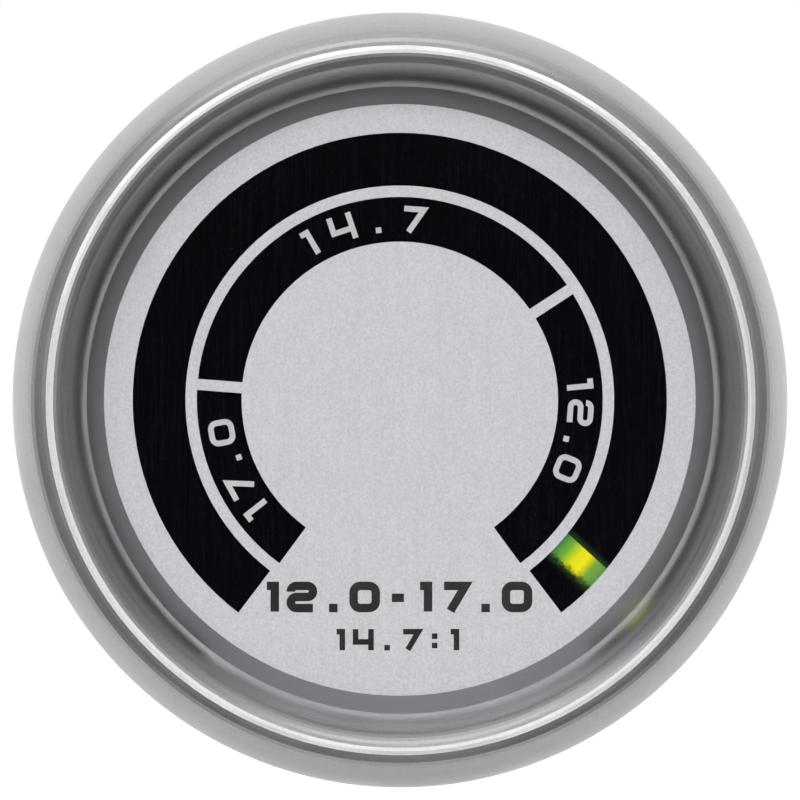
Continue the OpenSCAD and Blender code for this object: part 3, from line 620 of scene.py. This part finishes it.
class GAUGE_OT_lamps(bpy.types.Operator):
    """Finish the lamps, the baffle round them and the diffuser"""
    bl_idname = "gauge.lamps"
    bl_label = "Lamps"

    def execute(self, context):
        baffle = finish("baffle_plastic_finish", (0.012, 0.012, 0.012), roughness=0.6,
                        scale=2400.0, shade=0.2)
        milky = finish("milky_plastic_finish", (0.78, 0.78, 0.74), roughness=0.45,
                       scale=1800.0, shade=0.04)
        dress(baffle, "led_baffle")
        dress(milky, "dial_diffuser")
        for name, tint, node in (
                ("red_lamp_finish", (0.36, 0.03, 0.02), "lean_leds"),
                ("amber_lamp_finish", (0.45, 0.27, 0.03), "stoich_leds"),
                ("green_lamp_finish", (0.04, 0.22, 0.06), "rich_leds"),
                ("white_lamp_finish", (0.80, 0.78, 0.66), "backlight_leds")):
            dark = finish(name, tint, roughness=0.25, scale=2200.0, shade=0.08, rough=0.03,
                          bump=0.001 * MM, coat=0.5)
            dress(dark, node)
        lit = finish("lit_lamp_finish", (0.55, 0.62, 0.03), roughness=0.25, scale=2200.0,
                     shade=0.05, coat=0.5)
        surface = next(n for n in lit.node_tree.nodes if n.type == "BSDF_PRINCIPLED")
        surface.inputs["Emission Color"].default_value = (0.75, 0.85, 0.03, 1.0)
        surface.inputs["Emission Strength"].default_value = 3.0
        dress(lit, "lit_led")
        return {"FINISHED"}


class GAUGE_OT_boards(bpy.types.Operator):
    """Finish the circuit boards and what stands on them"""
    bl_idname = "gauge.boards"
    bl_label = "Circuit boards"

    def execute(self, context):
        for name, tint, metallic, roughness, scale, nodes in (
                ("board_green_finish", (0.014, 0.115, 0.045), 0.0, 0.32, 1500.0,
                 ("display_board", "power_board")),
                ("chip_epoxy_finish", (0.016, 0.016, 0.017), 0.0, 0.55, 4200.0,
                 ("driver_chips", "op_amp", "voltage_regulator", "header_strips")),
                ("screw_steel_finish", (0.52, 0.53, 0.54), 1.0, 0.34, 2600.0,
                 ("display_board_screws", "power_board_screws", "pillar_screws")),
                ("spacer_brass_finish", (0.62, 0.45, 0.17), 1.0, 0.33, 2200.0,
                 ("board_spacers",)),
                ("contact_gold_finish", (0.83, 0.60, 0.24), 1.0, 0.26, 3200.0,
                 ("header_pins", "contact_pins")),
                ("can_sleeve_finish", (0.016, 0.035, 0.12), 0.0, 0.36, 1800.0,
                 ("capacitors",)),
                ("resistor_lacquer_finish", (0.55, 0.42, 0.24), 0.0, 0.40, 2600.0,
                 ("resistors",))):
            made = finish(name, tint, metallic=metallic, roughness=roughness, scale=scale,
                          shade=0.08)
            dress(made, *nodes)
        return {"FINISHED"}


class GAUGE_OT_case(bpy.types.Operator):
    """Finish the case and the rear socket"""
    bl_idname = "gauge.case"
    bl_label = "Case and socket"

    def execute(self, context):
        colours = context.scene.gauge_colours
        paint = finish("case_black_finish", colours.case, roughness=0.42, scale=1900.0,
                       shade=0.15, rough=0.08, bump=0.012 * MM, coat=0.15)
        nylon = finish("socket_black_finish", colours.socket, roughness=0.5, scale=3200.0,
                       shade=0.15, rough=0.06, bump=0.005 * MM)
        dress(paint, "case")
        dress(nylon, "rear_socket")
        return {"FINISHED"}


class GAUGE_OT_studs(bpy.types.Operator):
    """Cut threads on the two mounting studs"""
    bl_idname = "gauge.studs"
    bl_label = "Threaded studs"

    def execute(self, context):
        sizes, colours = context.scene.gauge_sizes, context.scene.gauge_colours
        plated = finish("stud_zinc_finish", colours.zinc, metallic=1.0, roughness=0.30,
                        scale=2400.0, shade=0.10, rough=0.07, bump=0.002 * MM)
        dress(plated, "stud_pillars", "jam_washers")
        both = bmesh.new()
        for x in (STUD_X, -STUD_X):
            self.thread(both, x, sizes.thread_pitch, sizes.thread_depth)
        made = piece("threaded_studs", both, plated, "gauge", "stud_zinc", "mounting_studs")
        made.data.shade_smooth()
        made.data.set_sharp_from_angle(angle=math.radians(30))
        return {"FINISHED"}

    def thread(self, both, x, pitch, depth, steps=32, chamfer=0.35 * MM, narrowing=0.2):
        """Adds a stud at x: a turned thread, cut flat at its ends and chamfered at the back."""
        crest, root = STUD_RADIUS, STUD_RADIUS - depth
        # one pitch: the root's flat, a flank, the crest's flat and the other flank
        profile = ((0, root), (0.08, root), (0.46, crest), (0.62, crest), (1, root))
        # a turn more at each end, which is cut off
        turns = math.ceil((STUD_BACK - STUD_FRONT) / pitch) + 2
        bm = bmesh.new()
        outline = [bm.verts.new((x + radius, STUD_FRONT - pitch + share * pitch, 0))
                   for share, radius in profile]
        edges = [bm.edges.new(pair) for pair in zip(outline, outline[1:])]
        bmesh.ops.spin(bm, geom=outline + edges, cent=(x, 0, 0), axis=(0, 1, 0),
                       angle=2 * math.pi * turns, dvec=(0, pitch / steps, 0), steps=steps * turns)
        bmesh.ops.remove_doubles(bm, verts=bm.verts, dist=SAME_TURN)
        for y, outwards in ((STUD_FRONT, -1), (STUD_BACK, 1)):
            bmesh.ops.bisect_plane(bm, geom=bm.verts[:] + bm.edges[:] + bm.faces[:],
                                   plane_co=(0, y, 0), plane_no=(0, outwards, 0), clear_outer=True)
            rim = [edge for edge in bm.edges if edge.is_boundary
                   and all(abs(v.co.y - y) < SAME_POINT for v in edge.verts)]
            bmesh.ops.holes_fill(bm, edges=rim, sides=0)
        for v in bm.verts:
            past = v.co.y - (STUD_BACK - chamfer)
            if past > 0:
                keep = 1 - narrowing * past / chamfer
                v.co.x, v.co.z = x + (v.co.x - x) * keep, v.co.z * keep
        mesh = bpy.data.meshes.new("thread")
        bm.to_mesh(mesh)
        bm.free()
        both.from_mesh(mesh)
        bpy.data.meshes.remove(mesh)


class GAUGE_OT_clamp(bpy.types.Operator):
    """Finish the bracket, the washers and the nuts"""
    bl_idname = "gauge.clamp"
    bl_label = "Clamp"

    def execute(self, context):
        colours = context.scene.gauge_colours
        zinc = finish("bracket_zinc_finish", colours.zinc, metallic=1.0, roughness=0.36,
                      scale=900.0, shade=0.12, rough=0.09, bump=0.004 * MM)
        nickel = finish("nut_nickel_finish", colours.nickel, metallic=1.0, roughness=0.27,
                        scale=2600.0, shade=0.07, rough=0.05, bump=0.002 * MM)
        dress(zinc, "clamp_bracket")
        dress(nickel, "jam_nuts", "lock_washers", "left_thumb_nut", "right_thumb_nut")
        return {"FINISHED"}


class GAUGE_OT_stage(bpy.types.Operator):
    """Set up the floor, the backdrop, the lamps and the camera"""
    bl_idname = "gauge.stage"
    bl_label = "Studio"

    def execute(self, context):
        scene, sizes = context.scene, context.scene.gauge_sizes
        scene.view_settings.view_transform = "Standard"
        self.camera(scene, sizes)
        self.surroundings(scene)
        self.floor(scene, sizes)
        for name, left, above, distance, width, height, power in LAMPS:
            spot = self.aim(math.radians(left), math.radians(above), distance)
            self.lamp(scene, name, spot, width, height, power)
        return {"FINISHED"}

    def aim(self, left, above, distance):
        """A place to the left of the axis and above it, turned to the middle of the panel face."""
        out = Vector((-math.sin(left) * math.cos(above), -math.cos(left) * math.cos(above),
                      math.sin(above)))
        turn = (-out).to_track_quat("-Z", "Y").to_matrix().to_4x4()
        return Matrix.Translation(out * distance) @ turn

    def camera(self, scene, sizes):
        data = bpy.data.cameras.new("camera")
        data.lens, data.sensor_width = sizes.camera_lens, SENSOR_WIDTH
        data.clip_start, data.clip_end = CLIP_START, CLIP_END
        made = bpy.data.objects.new("camera", data)
        made.matrix_world = self.aim(sizes.camera_left, sizes.camera_above, sizes.camera_distance)
        scene.collection.objects.link(made)
        scene.camera = made

    def lamp(self, scene, name, spot, width, height, power):
        data = bpy.data.lights.new(name, "AREA")
        data.shape, data.size, data.size_y, data.energy = "RECTANGLE", width, height, power
        made = bpy.data.objects.new(name, data)
        made.matrix_world = spot
        made.visible_camera = False
        scene.collection.objects.link(made)

    def surroundings(self, scene):
        """White behind the gauge, and a grey room on the viewer's side."""
        world = bpy.data.worlds.new("studio")
        world.use_nodes = True
        scene.world = world
        tree = world.node_tree
        tree.nodes.clear()
        rays = tree.nodes.new("ShaderNodeLightPath").outputs
        generated = tree.nodes.new("ShaderNodeTexCoord").outputs["Generated"]
        direction = add(tree, "ShaderNodeSeparateXYZ", Vector=generated).outputs
        towards = maths(tree, "MULTIPLY", direction["Y"], -1.0)
        # the grey room is dark round the camera, with a lighter ceiling
        white = ramp(tree, towards, *WHITE_BEHIND)
        grey = maths(tree, "MULTIPLY", ramp(tree, towards, *GREY_SIDES),
                     ramp(tree, towards, *DARK_ROUND_CAMERA))
        ceiling = ramp(tree, direction["Z"], *CEILING)
        # all of it is a little brighter from above and from the left
        upward = ramp(tree, towards, *UPWARD_GAIN)
        gain = maths(tree, "MULTIPLY_ADD", direction["Z"], upward, LEVEL_GAIN)
        gain = maths(tree, "MULTIPLY_ADD", direction["X"], RIGHTWARD_GAIN, gain)
        room = maths(tree, "MULTIPLY", chain(tree, "MAXIMUM", white, grey, ceiling), gain)
        # the camera sees plain white all round, and metal and glass see it behind the gauge
        mirrored = maths(tree, "MAXIMUM", rays["Is Glossy Ray"], rays["Is Transmission Ray"])
        seen = maths(tree, "MAXIMUM", rays["Is Camera Ray"],
                     maths(tree, "MULTIPLY", mirrored, white))
        backdrop = maths(tree, "MAXIMUM", room, seen)
        surface = add(tree, "ShaderNodeBackground", Color=backdrop, Strength=1.0)
        add(tree, "ShaderNodeOutputWorld", Surface=surface.outputs["Background"])

    def floor(self, scene, sizes):
        """A round floor that keeps the gauge's shadow and fades into the backdrop."""
        radius = sizes.floor_radius
        middle = (0, radius - sizes.floor_front, CAD_BOX[0].z - sizes.floor_drop)
        bm = bmesh.new()
        bmesh.ops.create_circle(bm, cap_ends=True, segments=FLOOR_SEGMENTS, radius=radius,
                                matrix=Matrix.Translation(middle))
        mesh = bpy.data.meshes.new("floor")
        bm.to_mesh(mesh)
        bm.free()
        mesh.materials.append(self.floor_finish(scene.gauge_colours.background, middle, radius))
        made = bpy.data.objects.new("floor", mesh)
        scene.collection.objects.link(made)

    def floor_finish(self, background, middle, radius):
        """White with faint specks. Towards the rim no edge shows against the white backdrop."""
        material, tree, surface, out = new_material("floor_finish")
        white = rgb(background, FLOOR_WHITE)
        speck = place(tree, grain_group(), Scale=FLOOR_SPECK_SCALE)["Shade"]
        put(tree, surface.inputs["Base Color"], mix(tree, speck, rgb(white, FLOOR_SPECK), white))
        surface.inputs["Roughness"].default_value = FLOOR_ROUGHNESS
        spot = tree.nodes.new("ShaderNodeTexCoord").outputs["Object"]
        away = add(tree, "ShaderNodeVectorMath", spot, middle, settings={"operation": "DISTANCE"})
        fade = ramp(tree, away.outputs["Value"], FADE_START * radius, FADE_END * radius)
        rays = tree.nodes.new("ShaderNodeLightPath").outputs
        seen = maths(tree, "MAXIMUM", rays["Is Camera Ray"], rays["Is Transmission Ray"])
        shown = maths(tree, "MAXIMUM", seen,
                      maths(tree, "MULTIPLY", rays["Is Glossy Ray"], MIRRORED_LIFT))
        none, lift, bright = (
            add(tree, "ShaderNodeEmission", Color=tint, Strength=strength).outputs["Emission"]
            for tint, strength in ((BLACK, 0.0), (WHITE, FLOOR_LIFT), (WHITE, 1.0)))
        lifted = add(tree, "ShaderNodeMixShader", shown, none, lift).outputs["Shader"]
        lit = add(tree, "ShaderNodeAddShader", surface.outputs["BSDF"], lifted).outputs["Shader"]
        faded = add(tree, "ShaderNodeMixShader", maths(tree, "MULTIPLY", seen, fade), lit, bright)
        put(tree, out.inputs["Surface"], faded.outputs["Shader"])
        return material


class GAUGE_PT_panel(bpy.types.Panel):
    """Lists the steps that dress the gauge"""
    bl_idname = "GAUGE_PT_panel"
    bl_label = "Gauge"
    bl_space_type = "VIEW_3D"
    bl_region_type = "UI"
    bl_category = "Gauge"

    def draw(self, context):
        for step in STEPS:
            self.layout.operator(step.bl_idname)


STEPS = (GAUGE_OT_stage, GAUGE_OT_metalwork, GAUGE_OT_glass, GAUGE_OT_dial, GAUGE_OT_numbers,
         GAUGE_OT_lamps, GAUGE_OT_boards, GAUGE_OT_case, GAUGE_OT_studs, GAUGE_OT_clamp)
CLASSES = (GaugeSizes, GaugeColours, *STEPS, GAUGE_PT_panel)


def register():
    for kind in CLASSES:
        bpy.utils.register_class(kind)
    bpy.types.Scene.gauge_sizes = PointerProperty(type=GaugeSizes)
    bpy.types.Scene.gauge_colours = PointerProperty(type=GaugeColours)


def unregister():
    del bpy.types.Scene.gauge_colours, bpy.types.Scene.gauge_sizes
    for kind in reversed(CLASSES):
        bpy.utils.unregister_class(kind)


def main():
    register()
    for step in STEPS:
        family, name = step.bl_idname.split(".")
        getattr(getattr(bpy.ops, family), name)()


if __name__ == "__main__":
    main()
